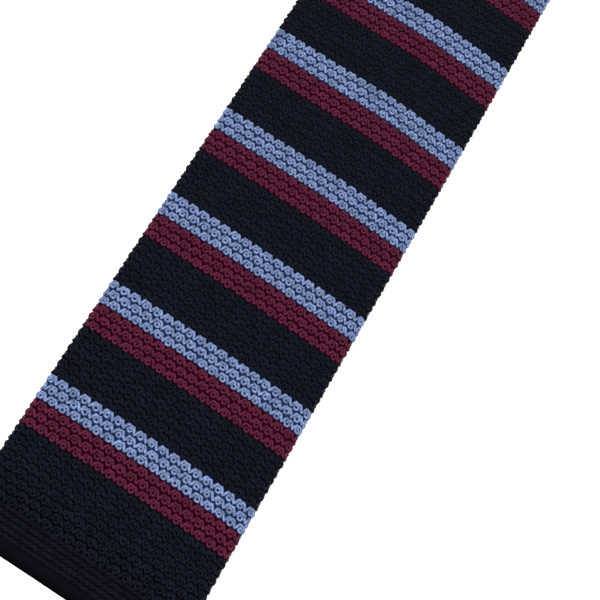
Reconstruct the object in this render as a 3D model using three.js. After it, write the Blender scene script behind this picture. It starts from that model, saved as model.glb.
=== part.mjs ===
// A square-ended knitted tie, lying flat and straight with its front blade towards -X.
// It is knitted as one tube and pressed flat, so it is two knitted layers joined along
// both side edges, with a thin slit between them. The wide front blade narrows to the
// neck band, which widens again to the tail blade. Each end is turned in to a round edge
// and finished with a few plain courses. Millimetres, +Z up, underside on Z = 0.
import * as THREE from 'three';

// Widths, edge to edge, of the pressed tube.
const BLADE_WIDTH = 60;
const NECK_WIDTH = 32;
const TAIL_WIDTH = 48;

// Lengths of the stretches that follow the counted bands of the front blade.
const UPPER_BLADE_LENGTH = 290;
const FRONT_TAPER_LENGTH = 180;
const NECK_LENGTH = 340;
const TAIL_TAPER_LENGTH = 100;
const TAIL_BLADE_LENGTH = 300;

// The knitted wall, and the slit that is left inside the pressed tube.
const LAYER = 1.5;
const SLIT = 0.4;

// One row of tuck stitches, and the rows of each yarn colour from the hem upwards. The
// rows that follow the hem are a little tighter.
const ROW = 2.375;
const START_ROW = 2.243;
const START_ROWS = 8;
const STRIPE_REPEATS = 7;
const STRIPE = [
  { yarn: 'maroon', rows: 3 },
  { yarn: 'blue', rows: 3 },
  { yarn: 'navy', rows: 6 },
];

// The hem: a round turned edge, then plain courses with a groove before each.
const HEM_FOLD = 3.6;
const HEM_COURSES = 5;
const HEM_COURSE = 1.48;
const HEM_GROOVE = 0.25;
const NOSE_START = Math.PI / 7;
const NOSE_STATIONS = 4;

// The rows climb towards the +Y edge and sag a little towards both edges.
const ROW_CLIMB = 1.6;
const ROW_SAG = 0.5;

// Facets across each face, and round each side edge.
const ACROSS = 10;
const EDGE_STEPS = 4;

const EDGE_RADIUS = LAYER + SLIT / 2;
const HEM_LENGTH = HEM_FOLD + HEM_COURSES * HEM_COURSE;

const YARN = {
  navy: new THREE.MeshStandardMaterial({ color: 0x171a28, roughness: 0.95, metalness: 0 }),
  maroon: new THREE.MeshStandardMaterial({ color: 0x64213b, roughness: 0.95, metalness: 0 }),
  blue: new THREE.MeshStandardMaterial({ color: 0x8b9dc9, roughness: 0.95, metalness: 0 }),
};

// How far a row has moved along the tie at a distance y from the centre line.
function rowShift(y) {
  const share = y / (BLADE_WIDTH / 2);
  return ROW_CLIMB * share - ROW_SAG * share * share;
}

// One closed outline of the pressed tube at x: underside from -Y to +Y, round the edge,
// upper side back, round the other edge. The radius is the half thickness there.
function outline({ x, width, radius }) {
  const reach = width / 2 - EDGE_RADIUS;
  const points = [];
  const add = (y, z) => points.push([x + rowShift(y), y, z]);
  for (const side of [-1, 1]) {
    for (let i = 0; i <= ACROSS; i += 1) {
      add(side * reach * (1 - (2 * i) / ACROSS), EDGE_RADIUS + side * radius);
    }
    for (let i = 1; i < EDGE_STEPS; i += 1) {
      const turn = (Math.PI * i) / EDGE_STEPS;
      add(-side * (reach + radius * Math.sin(turn)), EDGE_RADIUS + side * radius * Math.cos(turn));
    }
  }
  return points;
}

// The triangles that close one outline, in strips between underside and upper side.
function outlineFaces() {
  const faces = [];
  const upper = ACROSS + EDGE_STEPS;
  const count = 2 * upper;
  for (let i = 0; i < ACROSS; i += 1) {
    const above = upper + ACROSS - i;
    faces.push([i, i + 1, above - 1], [i, above - 1, above]);
  }
  for (let i = 1; i < EDGE_STEPS; i += 1) {
    faces.push([ACROSS, ACROSS + i, ACROSS + i + 1]);
    faces.push([upper + ACROSS, upper + ACROSS + i, (upper + ACROSS + i + 1) % count]);
  }
  return faces;
}

// A stretch of the tube. The outer skin runs through every station. The slit runs through
// the slit stations and opens at both ends, or at one where the other end is turned in.
function tubeGeometry({ skin, slit, closed }) {
  const positions = [];
  const indices = [];
  const count = 2 * (ACROSS + EDGE_STEPS);

  const loft = (stations, inward) => {
    const first = positions.length / 3;
    for (const station of stations) positions.push(...outline(station).flat());
    for (let s = 0; s < stations.length - 1; s += 1) {
      for (let i = 0; i < count; i += 1) {
        const a = first + s * count + i;
        const b = first + s * count + ((i + 1) % count);
        if (inward) indices.push(a, b + count, b, a, a + count, b + count);
        else indices.push(a, b, b + count, a, b + count, a + count);
      }
    }
    return [first, first + (stations.length - 1) * count];
  };

  const cap = (first, facesAhead) => {
    for (const [a, b, c] of outlineFaces()) {
      if (facesAhead) indices.push(first + a, first + b, first + c);
      else indices.push(first + a, first + c, first + b);
    }
  };

  const rim = (outer, inner, facesAhead) => {
    for (let i = 0; i < count; i += 1) {
      const next = (i + 1) % count;
      if (facesAhead) {
        indices.push(outer + i, outer + next, inner + next, outer + i, inner + next, inner + i);
      } else {
        indices.push(outer + i, inner + next, outer + next, outer + i, inner + i, inner + next);
      }
    }
  };

  const outerEnds = loft(skin, false);
  const innerEnds = loft(slit, true);
  ['start', 'end'].forEach((end, e) => {
    const ahead = end === 'end';
    if (closed === end) {
      cap(outerEnds[e], ahead);
      cap(innerEnds[e], !ahead);
    } else {
      rim(outerEnds[e], innerEnds[e], ahead);
    }
  });

  const geometry = new THREE.BufferGeometry();
  geometry.setAttribute('position', new THREE.Float32BufferAttribute(positions, 3));
  geometry.setIndex(indices);
  geometry.computeVertexNormals();
  return geometry;
}

const skinStation = (x, width) => ({ x, width, radius: EDGE_RADIUS });
const slitStation = (x, width) => ({ x, width, radius: SLIT / 2 });

// A plain stretch that goes from one width to another over its length.
function stretchGeometry(length, fromWidth, toWidth) {
  return tubeGeometry({
    skin: [skinStation(0, fromWidth), skinStation(length, toWidth)],
    slit: [slitStation(0, fromWidth), slitStation(length, toWidth)],
    closed: null,
  });
}

// The hem, with its turned edge at the start or at the end of its length.
function hemGeometry(width, turnedEnd) {
  const skin = [];
  const noseLength = HEM_FOLD - HEM_COURSE / 2;
  for (let i = 0; i < NOSE_STATIONS; i += 1) {
    const turn = NOSE_START + ((Math.PI / 2 - NOSE_START) * i) / (NOSE_STATIONS - 1);
    const x = noseLength * (1 - Math.cos(turn) / Math.cos(NOSE_START));
    skin.push({ x, width, radius: EDGE_RADIUS * Math.sin(turn) });
  }
  for (let i = 0; i < HEM_COURSES; i += 1) {
    const groove = HEM_FOLD + i * HEM_COURSE;
    skin.push({ x: groove, width, radius: EDGE_RADIUS - HEM_GROOVE });
    skin.push(skinStation(groove + HEM_COURSE / 2, width));
  }
  skin.push(skinStation(HEM_LENGTH, width));
  const slit = [slitStation(HEM_FOLD, width), slitStation(HEM_LENGTH, width)];
  if (turnedEnd === 'start') return tubeGeometry({ skin, slit, closed: 'start' });
  const mirror = (station) => ({ ...station, x: HEM_LENGTH - station.x });
  return tubeGeometry({
    skin: skin.map(mirror).reverse(),
    slit: slit.map(mirror).reverse(),
    closed: 'end',
  });
}

// The pieces follow each other along X, each starting where the last one ends.
const tie = new THREE.Group();
let along = 0;

function addPiece(name, yarn, length, geometry) {
  const mesh = new THREE.Mesh(geometry, YARN[yarn]);
  mesh.name = name;
  mesh.position.x = along;
  tie.add(mesh);
  along += length;
}

function addStretch(name, yarn, length, fromWidth, toWidth) {
  addPiece(name, yarn, length, stretchGeometry(length, fromWidth, toWidth));
}

addPiece('front_hem', 'navy', HEM_LENGTH, hemGeometry(BLADE_WIDTH, 'start'));
addStretch('navy_start_band', 'navy', START_ROWS * START_ROW, BLADE_WIDTH, BLADE_WIDTH);
for (let repeat = 1; repeat <= STRIPE_REPEATS; repeat += 1) {
  for (const { yarn, rows } of STRIPE) {
    addStretch(`${yarn}_band_${repeat}`, yarn, rows * ROW, BLADE_WIDTH, BLADE_WIDTH);
  }
}
addStretch('upper_blade', 'navy', UPPER_BLADE_LENGTH, BLADE_WIDTH, BLADE_WIDTH);
addStretch('front_taper', 'navy', FRONT_TAPER_LENGTH, BLADE_WIDTH, NECK_WIDTH);
addStretch('neck_band', 'navy', NECK_LENGTH, NECK_WIDTH, NECK_WIDTH);
addStretch('tail_taper', 'navy', TAIL_TAPER_LENGTH, NECK_WIDTH, TAIL_WIDTH);
addStretch('tail_blade', 'navy', TAIL_BLADE_LENGTH, TAIL_WIDTH, TAIL_WIDTH);
addPiece('tail_hem', 'navy', HEM_LENGTH, hemGeometry(TAIL_WIDTH, 'end'));

// The origin is under the middle of the tie's length.
const reach = new THREE.Box3().setFromObject(tie);
tie.position.x = -(reach.min.x + reach.max.x) / 2;

export default tie;
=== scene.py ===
# A square-ended knitted tie with maroon and light blue cross stripes on navy, lying flat.
import math

import bpy
import numpy as np
from mathutils import Matrix, Vector


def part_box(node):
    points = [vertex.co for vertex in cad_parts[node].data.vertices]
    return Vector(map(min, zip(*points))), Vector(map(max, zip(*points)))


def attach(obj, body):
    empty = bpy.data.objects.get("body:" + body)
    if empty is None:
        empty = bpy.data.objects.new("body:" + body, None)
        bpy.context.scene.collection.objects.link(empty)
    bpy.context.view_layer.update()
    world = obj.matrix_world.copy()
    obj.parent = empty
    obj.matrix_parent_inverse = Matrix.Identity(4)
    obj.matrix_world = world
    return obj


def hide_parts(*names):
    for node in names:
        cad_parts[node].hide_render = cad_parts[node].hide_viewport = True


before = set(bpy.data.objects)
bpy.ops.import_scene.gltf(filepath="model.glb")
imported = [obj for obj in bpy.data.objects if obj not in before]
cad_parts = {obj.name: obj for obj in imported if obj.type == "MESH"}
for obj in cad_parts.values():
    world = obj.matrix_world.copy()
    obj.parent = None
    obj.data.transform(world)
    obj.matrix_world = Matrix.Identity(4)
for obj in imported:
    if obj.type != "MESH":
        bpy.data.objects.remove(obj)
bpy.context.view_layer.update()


# The tie lies on a pale matt table top. It is lit as a shop photographs cloth: one broad
# lamp high on the far left, a weaker one on the right, and a bright room all round.
MM = 0.001


def linear(hex_colour):
    """A colour written as sRGB hex, as the linear values that the shaders take."""
    parts = [int(hex_colour[i : i + 2], 16) / 255 for i in (1, 3, 5)]
    return [p / 12.92 if p <= 0.04045 else ((p + 0.055) / 1.055) ** 2.4 for p in parts] + [1.0]


def add_node(tree, kind, settings=(), links=()):
    """Adds a node: settings are its properties and unlinked sockets, links its linked ones."""
    node = tree.nodes.new(kind)
    for key, value in dict(settings).items():
        if isinstance(key, int) or key in node.inputs:
            node.inputs[key].default_value = value
        else:
            setattr(node, key, value)
    for key, source in dict(links).items():
        tree.links.new(source, node.inputs[key])
    return node


def new_material(name):
    """An empty node material, and the surface socket of its output."""
    material = bpy.data.materials.new(name)
    material.use_nodes = True
    material.node_tree.nodes.clear()
    output = material.node_tree.nodes.new("ShaderNodeOutputMaterial")
    return material, material.node_tree, output.inputs["Surface"]


FLOOR_SIZE = 12.0
FLOOR_COLOUR = "#f4f4f4"

bpy.ops.object.select_all(action="DESELECT")
bpy.ops.mesh.primitive_plane_add(size=FLOOR_SIZE, location=(0, 0, 0))
floor = bpy.context.object
floor.name = "table_top"
white, tree, surface = new_material("matt_white_laminate")
shader = add_node(tree, "ShaderNodeBsdfPrincipled", {"Roughness": 0.9, "Specular IOR Level": 0.2})
shader.inputs["Base Color"].default_value = linear(FLOOR_COLOUR)
tree.links.new(shader.outputs["BSDF"], surface)
floor.data.materials.append(white)

world = bpy.data.worlds.new("bright_room")
world.use_nodes = True
room = world.node_tree.nodes["Background"]
room.inputs["Color"].default_value = (1.0, 1.0, 1.0, 1.0)
room.inputs["Strength"].default_value = 0.5
bpy.context.scene.world = world


def add_lamp(name, place, aim, size, power):
    """A square soft lamp at place, turned to face aim."""
    bpy.ops.object.light_add(type="AREA", location=place)
    lamp = bpy.context.object
    lamp.name = name
    lamp.data.size = size
    lamp.data.energy = power
    lamp.rotation_euler = (Vector(aim) - Vector(place)).to_track_quat("-Z", "Y").to_euler()


# The camera looks down on the front blade from beyond its hem, 22 degrees off square, and
# is turned so that the blade crosses the picture. The lens shows 205 mm of the blade.
ROW_CLIMB = 1.6 * MM
ROW_SAG = 0.5 * MM
BLADE_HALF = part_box("upper_blade")[1][1]


def row_shift(y):
    """How far along the tie a knitted row has moved at a distance y from the centre line."""
    share = y / BLADE_HALF
    return ROW_CLIMB * share - ROW_SAG * share * share


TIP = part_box("front_hem")[0][0] - row_shift(-BLADE_HALF)
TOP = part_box("upper_blade")[1][2]
LENS_MM = 90.0
SENSOR_MM = 36.0
AIM = Vector((TIP + 93.0 * MM, -12.73 * MM, TOP))
CAMERA_DISTANCE = 378.85 * MM
TILT = math.radians(21.8)
TIE_RISE = 0.51358
TIE_RUN = 0.85804

across = Vector((0, -1, 0))
away = Vector((math.cos(TILT), 0, math.sin(TILT)))
camera_right = TIE_RUN * across + TIE_RISE * away
camera_up = TIE_RUN * away - TIE_RISE * across
camera_back = camera_right.cross(camera_up)
turn = Matrix((camera_right, camera_up, camera_back)).transposed()
bpy.ops.object.camera_add()
camera = bpy.context.object
camera.name = "camera"
camera.data.sensor_width = SENSOR_MM
camera.data.lens = LENS_MM
camera.data.clip_start = 0.01
camera.matrix_world = Matrix.Translation(AIM + CAMERA_DISTANCE * camera_back) @ turn.to_4x4()
bpy.context.scene.camera = camera
bpy.context.scene.view_settings.view_transform = "Standard"

add_lamp("key_lamp", (TIP - 0.6, 0.15, 0.95), AIM, 0.6, 20.0)
add_lamp("fill_lamp", (TIP + 0.75, -0.3, 1.0), AIM, 0.8, 11.0)


# The wall of the tie is one knitted tube, pressed flat and lying on its back. Its ends are
# turned in and closed. The yarn in it changes colour with the rows, and what of it isn't
# covered by modelled stitches, the back and the turned ends, has their relief in its finish.
ROW = 2.375 * MM
START_ROW = 2.243 * MM
START_ROWS = 8
STRIPE = (("maroon", 3), ("blue", 3), ("navy", 6))
STITCH_WIDTH = 3.2 * MM
HEM_FOLD = 3.6 * MM
HEM_COURSE = 1.48 * MM
HEM_COURSES = 5
HEM_LENGTH = HEM_FOLD + HEM_COURSES * HEM_COURSE
EDGE_RADIUS = TOP / 2
SLIT = 0.4 * MM
STITCH_DEPTH = 1.05 * MM
COURSE_DEPTH = 0.5 * MM
# the turn round the side edges, in radians, that the modelled stitches cover
STITCHED_BEND = 2.2
# the share of a turned end's round that is made, up to a narrow flat at the very end
END_ROUND = 0.96
RIPPLE = 0.8 * MM
RIPPLE_PLACE = 165.0 * MM
RIPPLE_LENGTH = 42.0 * MM
RIPPLE_SIDE = -7.0 * MM
RIPPLE_WIDTH = 13.0 * MM
YARN_COLOURS = {"navy": "#0d1019", "maroon": "#440f26", "blue": "#607095"}
# painted shade: what shows between the stitches is painted darker than the yarn, as in their
# shade; in the navy it is painted lighter than the yarn, painted light that lifts its deep gaps
PAINTED_SHADE_COLOURS = {"navy": "#131725", "maroon": "#37051a", "blue": "#26335c"}


def straight_ends(node):
    """Where a stretch of one width starts and ends on the centre line, and half its width."""
    low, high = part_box(node)
    return low[0] - row_shift(low[1]), high[0] - row_shift(high[1]), high[1]


upper_start, upper_end, blade_half = straight_ends("upper_blade")
neck_start, neck_end, neck_half = straight_ends("neck_band")
tail_start, tail_end, tail_half = straight_ends("tail_blade")
TAIL_TIP = tail_end + HEM_LENGTH
WIDTH_AT = (upper_end, neck_start, neck_end, tail_start)
HALF_WIDTHS = (blade_half, neck_half, neck_half, tail_half)


def flat_reach(x):
    """How far the flat of the tube reaches from the centre line before its edge turns down."""
    return np.interp(x, WIDTH_AT, HALF_WIDTHS) - EDGE_RADIUS


def end_round(x):
    """The share of the full thickness that is left at x, where the ends are turned in."""
    from_end = np.minimum(x - TIP, TAIL_TIP - x)
    left = np.clip(1 - from_end / HEM_FOLD, 0, END_ROUND)
    return np.sqrt(1 - left * left)


def ripple(x, y):
    """How far the rows bulge towards the neck where the blade was pulled a little."""
    along = (x - TIP - RIPPLE_PLACE) / RIPPLE_LENGTH
    aside = (y - RIPPLE_SIDE) / RIPPLE_WIDTH
    return RIPPLE * np.exp(-(along**2) - aside**2)


def place(s, x, depth):
    """Points of the tie: s is measured round the tube from the middle of the front face, x
    along the tie, and depth is how far under the outer surface a point lies."""
    reach = flat_reach(x)
    past = np.abs(s) - reach
    bend = np.clip(past / EDGE_RADIUS, 0, math.pi)
    under = np.maximum(past - math.pi * EDGE_RADIUS, 0)
    radius = (EDGE_RADIUS - depth) * end_round(x)
    y = np.sign(s) * (np.minimum(np.abs(s), reach) + radius * np.sin(bend) - under)
    z = EDGE_RADIUS + radius * np.cos(bend)
    return np.stack([x + row_shift(y) + ripple(x, y), y, z], axis=-1)


def all_rows():
    """Every tuck row from hem to hem: where it starts, its height and its yarn."""
    rows = []
    start = TIP + HEM_LENGTH
    shown = START_ROWS + round((upper_start - start - START_ROWS * START_ROW) / ROW)
    hidden = round((tail_end - upper_start) / ROW)
    hidden_height = (tail_end - upper_start) / hidden
    yarns = [yarn for yarn, count in STRIPE for _ in range(count)]
    for i in range(shown + hidden):
        height = START_ROW if i < START_ROWS else ROW if i < shown else hidden_height
        plain = i < START_ROWS or i >= shown + hidden - START_ROWS
        yarn = "navy" if plain else yarns[(i - START_ROWS) % len(yarns)]
        rows.append((start, height, yarn))
        start += height
    return rows


ROWS = all_rows()


def grid_faces(runs, steps, around, loop):
    """Quads of runs of tubes, each of steps rings with around points, open or a closed loop."""
    i = np.arange(steps if loop else steps - 1)
    j = np.arange(around)
    run, i, j = np.meshgrid(np.arange(runs), i, j, indexing="ij")
    after, beside = (i + 1) % steps, (j + 1) % around
    first = run * steps * around
    quad = (i * around + j, after * around + j, after * around + beside, i * around + beside)
    return (first[..., None] + np.stack(quad, axis=-1)).reshape(-1, 4)


def finish_mesh(name, points, faces, corners, material):
    """A smooth mesh object on the root body. Corners are its quads' places on the yarn or
    cloth, for its UV map. The faces after the quads are end caps."""
    mesh = bpy.data.meshes.new(name)
    mesh.from_pydata(points.reshape(-1, 3).tolist(), [], faces)
    mesh.shade_smooth()
    mesh.materials.append(material)
    uv = np.zeros((len(mesh.loops), 2))
    uv[: corners.size // 2] = corners.reshape(-1, 2)
    mesh.uv_layers.new(name="along_the_yarn").data.foreach_set("uv", uv.ravel())
    piece = bpy.data.objects.new(name, mesh)
    bpy.context.scene.collection.objects.link(piece)
    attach(piece, "root")
    return piece


FELT_TUFT = 0.7 * MM


def wall_material():
    """Knitted wool: no gloss, coloured by row, with painted shade under the stitches and at the
    turned ends, and with rings and points of stitches in low relief.
    """
    material, tree, surface = new_material("knitted_wool_wall")
    dye_and_painted_shade = add_node(tree, "ShaderNodeAttribute", {"attribute_name": "dye_and_painted_shade"})
    cloth = add_node(tree, "ShaderNodeUVMap", {"uv_map": "along_the_yarn"})
    split = add_node(tree, "ShaderNodeSeparateXYZ", links={0: cloth.outputs["UV"]})
    waves = []
    for axis, period in (("X", STITCH_WIDTH), ("Y", 2 * ROW)):
        turns = {"operation": "MULTIPLY", 1: 2 * math.pi / period}
        turns = add_node(tree, "ShaderNodeMath", turns, {0: split.outputs[axis]})
        wave = add_node(tree, "ShaderNodeMath", {"operation": "COSINE"}, {0: turns.outputs[0]})
        waves.append(wave)
    links = {0: waves[0].outputs[0], 1: waves[1].outputs[0]}
    lattice = add_node(tree, "ShaderNodeMath", {"operation": "MULTIPLY"}, links)
    # the colour attribute's alpha is 0 at the turned edges, which are smooth
    links = {0: lattice.outputs[0], 1: dye_and_painted_shade.outputs["Alpha"]}
    lattice = add_node(tree, "ShaderNodeMath", {"operation": "MULTIPLY"}, links)
    # the sine of one and a half half-turns makes a ring round each peak of the lattice
    links = {0: lattice.outputs[0]}
    ringed = add_node(tree, "ShaderNodeMath", {"operation": "MULTIPLY", 1: 1.5 * math.pi}, links)
    links = {0: ringed.outputs[0]}
    rings = add_node(tree, "ShaderNodeMath", {"operation": "SINE"}, links)
    links = {"Height": rings.outputs[0]}
    relief = add_node(tree, "ShaderNodeBump", {"Strength": 0.7, "Distance": 0.3 * MM}, links)
    place_at = add_node(tree, "ShaderNodeTexCoord")
    links = {"Vector": place_at.outputs["Object"]}
    # the felted fibres between the stitches, drawn as tufts because they are too fine to show
    felt = add_node(tree, "ShaderNodeTexNoise", {"Scale": 1 / FELT_TUFT, "Detail": 2.0}, links)
    links = {"Height": felt.outputs["Fac"], "Normal": relief.outputs["Normal"]}
    relief = add_node(tree, "ShaderNodeBump", {"Strength": 0.8, "Distance": 0.5 * MM}, links)
    # painted shade: the colour is darker in the hollows of the relief and a little lighter on its
    # rings
    links = {0: rings.outputs[0]}
    painted_hollow_shade = add_node(tree, "ShaderNodeMapRange", {1: -1.0, 2: 1.0, 3: 0.6, 4: 1.1}, links)
    links = {6: dye_and_painted_shade.outputs["Color"], 7: painted_hollow_shade.outputs[0]}
    settings = {"data_type": "RGBA", "blend_type": "MULTIPLY", 0: 1.0}
    colour = add_node(tree, "ShaderNodeMix", settings, links)
    links = {"Base Color": colour.outputs[2], "Normal": relief.outputs["Normal"]}
    settings = {"Roughness": 1.0, "Specular IOR Level": 0.0}
    shader = add_node(tree, "ShaderNodeBsdfPrincipled", settings, links)
    tree.links.new(shader.outputs["BSDF"], surface)
    return material


FOLD = (
    # the share of the turned edge from its end, and its colour: painted shade, darker than the
    # yarn and darkest towards the end
    (0.00, "#050507"),
    (0.05, "#050507"),
    (0.15, "#06070a"),
    (0.30, "#07080c"),
    (0.50, "#090a10"),
    (0.75, "#0a0c12"),
    (0.93, "#0a0c12"),
)
# the wall steps down from the hem to the rows in this length
STEP = 0.25 * MM
# the wall turns navy this much before the row does, so no lighter wool shows past a stripe
DYE_LEAD = 1.0 * MM
# the wall comes up to the surface at the edges, where the modelled stitches end
WALL_RISE = 1.5
FLAT_COLUMNS = 9
BEND_COLUMNS = 8
ARC = math.pi * EDGE_RADIUS

# each station of the skin is its place, its depth under the yarn and its colour from there on: a
# yarn, or a painted shade for the turned ends and the hem
stations = [(TIP + share * HEM_FOLD, 0.0, dye_and_painted_shade) for share, dye_and_painted_shade in FOLD]
stations.append((TIP + HEM_FOLD, COURSE_DEPTH, FOLD[-1][1]))
stations.append((ROWS[0][0] - STEP, COURSE_DEPTH, FOLD[-1][1]))
previous = None
for start, height, yarn in ROWS:
    if yarn != previous:
        lead = DYE_LEAD if yarn == "navy" and previous else 0.0
        stations.append((start - lead, STITCH_DEPTH, yarn))
    previous = yarn
stations.append((tail_end, STITCH_DEPTH, previous))
stations.append((tail_end + STEP, COURSE_DEPTH, FOLD[-1][1]))
stations.append((TAIL_TIP - HEM_FOLD, COURSE_DEPTH, FOLD[-1][1]))
stations += [(TAIL_TIP - share * HEM_FOLD, 0.0, dye_and_painted_shade) for share, dye_and_painted_shade in reversed(FOLD)]

x = np.array([station[0] for station in stations])[:, None]
under = np.array([station[1] for station in stations])[:, None]
reach = flat_reach(x)
flat = np.linspace(-1, 1, FLAT_COLUMNS)
bends = np.arange(1, BEND_COLUMNS) / BEND_COLUMNS * ARC
front = flat * reach
back = reach + ARC + (1 + flat) * reach
s = np.concatenate([front, reach + bends, back, -(reach + bends[::-1])], axis=1)
bent = np.clip((np.abs(s) - reach) / EDGE_RADIUS, 0, math.pi)
depth = under * np.clip(WALL_RISE * (1 - bent / STITCHED_BEND), 0, 1)
skin = place(s, x, depth)
around = s.shape[1]
skin_quads = grid_faces(1, len(stations), around, False)
last = (len(stations) - 1) * around
first_back = FLAT_COLUMNS + BEND_COLUMNS - 1

inner = slice(len(FOLD), len(stations) - len(FOLD))
slit_skin = place(s[inner], x[inner], EDGE_RADIUS - SLIT / 2)
slit_first = skin[..., 0].size
slit_last = slit_first + (len(slit_skin) - 1) * around
slit_quads = slit_first + grid_faces(1, len(slit_skin), around, False)[:, ::-1]

caps = []
for first, ahead in ((0, 1), (last, -1), (slit_first, -1), (slit_last, 1)):
    opposite = around - BEND_COLUMNS
    cap = [[i, i + 1, opposite - i - 1, opposite - i] for i in range(FLAT_COLUMNS - 1)]
    cap.append(list(range(FLAT_COLUMNS - 1, first_back + 1)))
    cap.append([*range(opposite, around), 0])
    caps += [[first + i for i in face][::ahead] for face in cap]

# the quads of the back that close the ring keep their place round the cloth without a jump
cloth_uv = np.stack([s, np.broadcast_to(x, s.shape)], axis=-1).reshape(-1, 2)
skin_corners = cloth_uv[skin_quads]
wraps = np.ptp(skin_corners[..., 0], axis=1) > 2 * ARC
behind = wraps[:, None] & (skin_corners[..., 0] > 0)
girth = np.broadcast_to(4 * reach + 2 * ARC, s.shape).reshape(-1)
skin_corners[..., 0] -= np.where(behind, girth[skin_quads], 0)
slit_corners = np.zeros((len(slit_quads), 4, 2))

quads = skin_quads.tolist() + slit_quads.tolist()
wall_corners = np.concatenate([skin_corners, slit_corners])
wall_points = np.concatenate([skin.reshape(-1, 3), slit_skin.reshape(-1, 3)])
felted = wall_material()
wall = finish_mesh("knitted_wall", wall_points, quads + caps, wall_corners, felted)

# painted shade: the front of the wall, under the stitches, has the painted shade colours, and its
# back the yarn's; the turned ends and the hem keep their painted shade
colours = np.tile((*linear(FOLD[0][1])[:3], 0.0), (len(wall.data.loops), 1))
middle_bend = bent.reshape(-1)[skin_quads].mean(axis=1)
for face, bend in enumerate(middle_bend):
    dye_and_painted_shade = stations[face // around][2]
    if dye_and_painted_shade in YARN_COLOURS:
        dye_and_painted_shade = linear((PAINTED_SHADE_COLOURS if bend < STITCHED_BEND else YARN_COLOURS)[dye_and_painted_shade])
    else:
        dye_and_painted_shade = (*linear(dye_and_painted_shade)[:3], 0.0)
    colours[4 * face : 4 * face + 4] = dye_and_painted_shade
wall.data.color_attributes.new("dye_and_painted_shade", "FLOAT_COLOR", "CORNER").data.foreach_set(
    "color", colours.ravel()
)


# The face of the knit is tuck stitch. In each row the yarn climbs over a held loop, comes
# down to a point between two of them, and climbs again, and the held loop shows as a ring.
# Neighbouring rows are shifted by half a stitch. The yarn is soft, matt and three-ply.
YARN_RADIUS = 0.38 * MM
ARCH = (
    # across, along the tie and under the surface, in mm, from the middle of the ring
    (0.00, 1.08, 0.70),
    (0.40, 1.10, 0.58),
    (0.72, 1.15, 0.44),
    (1.02, 0.60, 0.38),
    (1.31, 0.06, 0.38),
    (1.60, -0.48, 0.46),
)
ARCH_LOOSENESS = 0.07 * MM
# the yarn goes into the wall over the last of its length, at this slope
END_LENGTH = 0.8 * MM
END_SLOPE = 1.5
RING_YARN_RADIUS = 0.33 * MM
RING_ACROSS = 0.60 * MM
RING_ALONG = 0.60 * MM
RING_DEPTH = 0.42 * MM
RING_LEAN = 0.18 * MM
# where a ring's middle lies in the height of its row, and how much of a stitch at the end of
# a row is left without a ring
RING_PLACE = 0.24
RING_MARGIN = 0.4
RING_LOOSENESS = 0.07 * MM
RING_UNEVENNESS = 0.06
chance = np.random.default_rng(11)


def tubes(paths, radius, sides, loop):
    """Points round each path of a batch, whose columns are round, along and under the
    surface, and how far along the yarn each point of a path lies."""
    up = paths * (1, 1, -1)
    if loop:
        ahead = np.roll(up, -1, axis=1) - np.roll(up, 1, axis=1)
    else:
        ahead = np.gradient(up, axis=1)
    ahead /= np.linalg.norm(ahead, axis=-1, keepdims=True)
    side = np.cross(ahead, (0.0, 0.0, 1.0))
    side /= np.linalg.norm(side, axis=-1, keepdims=True)
    out = np.cross(side, ahead)
    angle = 2 * math.pi * np.arange(sides) / sides
    ring = np.cos(angle)[:, None] * out[..., None, :] + np.sin(angle)[:, None] * side[..., None, :]
    skin = up[..., None, :] + radius * ring
    steps = np.linalg.norm(np.diff(up, axis=1, append=up[:, :1]), axis=-1)
    length = np.concatenate([np.zeros((len(up), 1)), np.cumsum(steps, axis=1)], axis=1)
    return place(skin[..., 0], skin[..., 1], -skin[..., 2]), length


def yarn_corners(length, steps, sides, loop):
    """The UV corners of the quads of tubes: along the yarn, and the share of a turn round it."""
    i = np.arange(steps if loop else steps - 1)
    j = np.arange(sides)
    run, i, j = np.meshgrid(np.arange(len(length)), i, j, indexing="ij")
    here, there = length[run, i], length[run, i + 1]
    one, two = j / sides, (j + 1) / sides
    corners = ((here, one), (there, one), (there, two), (here, two))
    return np.stack([np.stack(corner, axis=-1) for corner in corners], axis=-2).reshape(-1, 4, 2)


def yarn_mesh(name, batches, sides, material):
    """One mesh of many runs of yarn. A batch is its paths, its radius and whether they loop."""
    points, quads, caps, corners, first = [], [], [], [], 0
    for paths, radius, loop in batches:
        skin, length = tubes(paths, radius, sides, loop)
        runs, steps = paths.shape[:2]
        quads.append(first + grid_faces(runs, steps, sides, loop))
        corners.append(yarn_corners(length, steps, sides, loop))
        if not loop:
            last = first + (steps - 1) * sides
            caps.append([first + j for j in range(sides)])
            caps.append([last + j for j in reversed(range(sides))])
        points.append(skin.reshape(-1, 3))
        first += runs * steps * sides
    faces = np.concatenate(quads).tolist() + caps
    return finish_mesh(name, np.concatenate(points), faces, np.concatenate(corners), material)


def row_layout(start, height):
    """The stitch width of a row, and how many stitches it has from the middle to its end."""
    span = float(flat_reach(start)) + STITCHED_BEND * EDGE_RADIUS
    count = round(span / STITCH_WIDTH)
    return span / count, count, start + RING_PLACE * height


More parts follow.
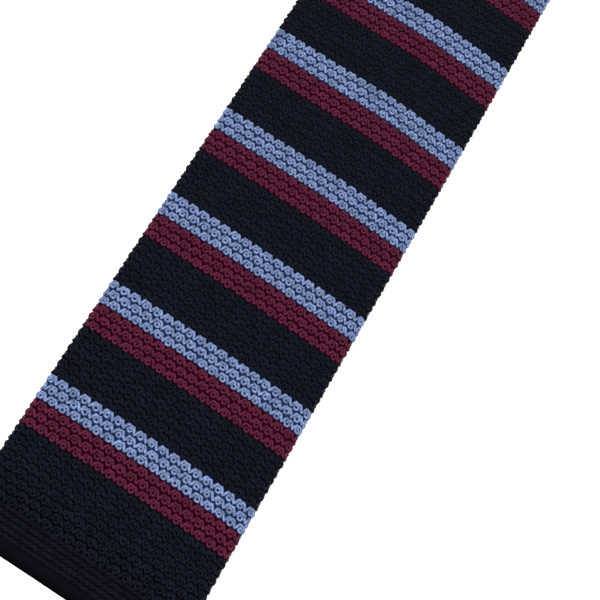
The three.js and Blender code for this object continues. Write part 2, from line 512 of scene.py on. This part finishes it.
def arch_row(start, height, odd, steps):
    """The path of one row's arched yarn, with steps points to each half stitch."""
    width, count, middle = row_layout(start, height)
    table = np.array(ARCH) * MM
    share = np.linspace(0, 1, len(table))
    # places along the row in half stitches, each with the nearest ring of this row
    at = np.arange(-2 * count * steps, 2 * count * steps + 1) / steps
    shift = 0 if odd else 1
    ring = 2 * np.round((at - shift) / 2) + shift
    aside = at - ring
    s, x, depth = (np.interp(np.abs(aside), share, table[:, k]) for k in range(3))
    s = (ring / 2 + np.sign(aside) * s / STITCH_WIDTH) * width
    depth += END_SLOPE * np.clip(np.abs(s) - count * width + END_LENGTH, 0, None)
    path = np.stack([s, middle + x * height / ROW, depth], axis=-1)
    loose = chance.normal(0, 1.0, path.shape)
    loose = (loose + np.roll(loose, 1, axis=0) + np.roll(loose, -1, axis=0)) / 3
    return (path + ARCH_LOOSENESS * loose)[None]


def ring_row(start, height, odd, points):
    """The paths of one row's rings."""
    width, count, middle = row_layout(start, height)
    centres = np.arange(-count + 1, count) if odd else np.arange(-count, count) + 0.5
    centres = centres[np.abs(centres) < count - RING_MARGIN][:, None] * width
    angle = 2 * math.pi * np.arange(points) / points + chance.uniform(0, 0.4, centres.shape)
    size = 1 + chance.normal(0, RING_UNEVENNESS, centres.shape)
    aside = chance.normal(0, RING_LOOSENESS, centres.shape)
    s = centres + aside + size * RING_ACROSS * np.cos(angle)
    ahead = chance.normal(0, RING_LOOSENESS, centres.shape)
    x = middle + ahead + size * RING_ALONG * np.sin(angle)
    return np.stack([s, x, RING_DEPTH + RING_LEAN * np.sin(angle)], axis=-1)


def stitch_mesh(name, rows, steps, sides, material, slot):
    """All the stitches of the rows as one mesh."""
    batches = []
    for index, (start, height, yarn) in rows:
        odd = index % 2 == 1
        batches.append((arch_row(start, height, odd, steps), YARN_RADIUS, False))
        batches.append((ring_row(start, height, odd, 2 * steps), RING_YARN_RADIUS, True))
    return yarn_mesh(name, batches, sides, material)


PLIES = 3
PLY_LENGTH = 0.8 * MM
TUFTS = (
    # the size of the patches of uneven dye, and their darkest and lightest shade; single
    # fibres are too fine to show, so the small patches are drawn coarser than theirs
    (3.0 * MM, 0.8, 1.2),
    (0.6 * MM, 0.45, 1.6),
)
GLOSS_COLOURS = {"navy": "#5c606c", "maroon": "#d8bcc6", "blue": "#fffaf0"}


def yarn_material(name, dye_and_painted_shade, gloss):
    """Worsted three-ply: grooves wind round the yarn, with painted shade in them, the dye takes
    unevenly from tuft to tuft, and the smooth fibres give a faint, broad gloss."""
    material, tree, surface = new_material(name)
    place_at = add_node(tree, "ShaderNodeTexCoord")
    here = {"Vector": place_at.outputs["Object"]}
    shades = []
    for size, low, high in TUFTS:
        uneven = add_node(tree, "ShaderNodeTexNoise", {"Scale": 1 / size, "Detail": 2.0}, here)
        settings = {1: 0.3, 2: 0.7, 3: low, 4: high}
        links = {0: uneven.outputs["Fac"]}
        shades.append(add_node(tree, "ShaderNodeMapRange", settings, links))
    links = {0: shades[0].outputs[0], 1: shades[1].outputs[0]}
    shade = add_node(tree, "ShaderNodeMath", {"operation": "MULTIPLY"}, links)
    thread = add_node(tree, "ShaderNodeUVMap", {"uv_map": "along_the_yarn"})
    split = add_node(tree, "ShaderNodeSeparateXYZ", links={0: thread.outputs["UV"]})
    settings = {"operation": "MULTIPLY", 1: math.pi / PLY_LENGTH}
    lay = add_node(tree, "ShaderNodeMath", settings, {0: split.outputs["X"]})
    settings = {"operation": "MULTIPLY_ADD", 1: math.pi * PLIES}
    links = {0: split.outputs["Y"], 2: lay.outputs[0]}
    wind = add_node(tree, "ShaderNodeMath", settings, links)
    wave = add_node(tree, "ShaderNodeMath", {"operation": "SINE"}, {0: wind.outputs[0]})
    ply = add_node(tree, "ShaderNodeMath", {"operation": "ABSOLUTE"}, {0: wave.outputs[0]})
    links = {"Height": ply.outputs[0]}
    relief = add_node(tree, "ShaderNodeBump", {"Strength": 0.8, "Distance": 0.15 * MM}, links)
    # painted shade: the colour is darker in the grooves between the plies and a little lighter on
    # their crests
    painted_groove_shade = add_node(tree, "ShaderNodeMapRange", {3: 0.6, 4: 1.12}, {0: ply.outputs[0]})
    links = {0: shade.outputs[0], 1: painted_groove_shade.outputs[0]}
    shade = add_node(tree, "ShaderNodeMath", {"operation": "MULTIPLY"}, links)
    settings = {"data_type": "RGBA", "blend_type": "MULTIPLY", 0: 1.0, 6: linear(dye_and_painted_shade)}
    colour = add_node(tree, "ShaderNodeMix", settings, {7: shade.outputs[0]})
    settings = {"Roughness": 0.6, "Specular IOR Level": 0.25}
    links = {"Base Color": colour.outputs[2], "Normal": relief.outputs["Normal"]}
    shader = add_node(tree, "ShaderNodeBsdfPrincipled", settings, links)
    shader.inputs["Specular Tint"].default_value = linear(gloss)
    tree.links.new(shader.outputs["BSDF"], surface)
    return material


yarn_materials = {
    yarn: yarn_material(f"{yarn}_worsted_yarn", YARN_COLOURS[yarn], GLOSS_COLOURS[yarn])
    for yarn in YARN_COLOURS
}
shown_rows = [(i, row) for i, row in enumerate(ROWS) if row[0] < upper_start - ROW / 2]
hidden_rows = [(i, row) for i, row in enumerate(ROWS) if row[0] >= upper_start - ROW / 2]

# the points of each half stitch, and the sides of the yarn; the hidden stretch has fewer of
# both, which keeps the tie under a million triangles
SHOWN_DETAIL = (5, 5)
HIDDEN_DETAIL = (3, 3)
stitch_pieces = []
for yarn in YARN_COLOURS:
    own = [(i, row) for i, row in shown_rows if row[2] == yarn]
    wool = yarn_materials[yarn]
    piece = stitch_mesh(f"shown_{yarn}_rows", own, *SHOWN_DETAIL, wool, f"{yarn}_yarn")
    nodes = [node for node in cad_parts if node.startswith(f"{yarn}_") and "band" in node]
    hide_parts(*nodes)
    stitch_pieces.append(piece)

for node in ("upper_blade", "front_taper", "neck_band", "tail_taper", "tail_blade"):
    low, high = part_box(node)
    middle = [row for row in hidden_rows if low[0] <= row[1][0] + row[1][1] / 2 < high[0]]
    hidden_rows = [row for row in hidden_rows if row not in middle]
    for yarn in YARN_COLOURS:
        own = [(i, row) for i, row in middle if row[2] == yarn]
        wool = yarn_materials[yarn]
        piece = stitch_mesh(f"{node}_{yarn}_rows", own, *HIDDEN_DETAIL, wool, f"{yarn}_yarn")
        if yarn == "navy":
            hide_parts(node)
        stitch_pieces.append(piece)


# Each hem has plain courses between its turned edge and the first tuck row. In a course
# the yarn turns over itself, so it shows as a low ridge of slanting bars.
COURSE_YARN_RADIUS = 0.42 * MM
TWIST_ACROSS = 0.28 * MM
TWIST_DEPTH = 0.12 * MM
TWIST_LENGTH = STITCH_WIDTH
TWIST_STEPS = 12
TWIST_LOOSENESS = 0.03 * MM
COURSE_SIDES = 5

# painted shade: the hem's yarn is a darker copy of the navy yarn, with a duller gloss
painted_shade_navy_yarn = yarn_material("navy_worsted_yarn_painted_shade", "#0b0d14", "#3c404a")


def hem_courses(name, first_course, onwards):
    """The plain courses of a hem, counted onwards from its turned edge, as one mesh."""
    batches = []
    span = float(flat_reach(first_course)) + STITCHED_BEND * EDGE_RADIUS
    s = np.linspace(-span, span, round(2 * span / TWIST_LENGTH * TWIST_STEPS) + 1)
    for course in range(HEM_COURSES):
        middle = first_course + onwards * (course + 0.5) * HEM_COURSE
        for half in (0, math.pi):
            angle = 2 * math.pi * s / TWIST_LENGTH + half + course * math.pi / 2
            along = middle + TWIST_ACROSS * np.cos(angle)
            along += chance.normal(0, TWIST_LOOSENESS, s.shape)
            depth = COURSE_YARN_RADIUS + TWIST_DEPTH * (1 - np.sin(angle))
            path = np.stack([s, along, depth], axis=-1)
            batches.append((path[None], COURSE_YARN_RADIUS, False))
    return yarn_mesh(name, batches, COURSE_SIDES, painted_shade_navy_yarn)


front_courses = hem_courses("front_hem_courses", TIP + HEM_FOLD, 1)
tail_courses = hem_courses("tail_hem_courses", TAIL_TIP - HEM_FOLD, -1)
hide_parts("front_hem")
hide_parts("tail_hem")
stitch_pieces += [front_courses, tail_courses]
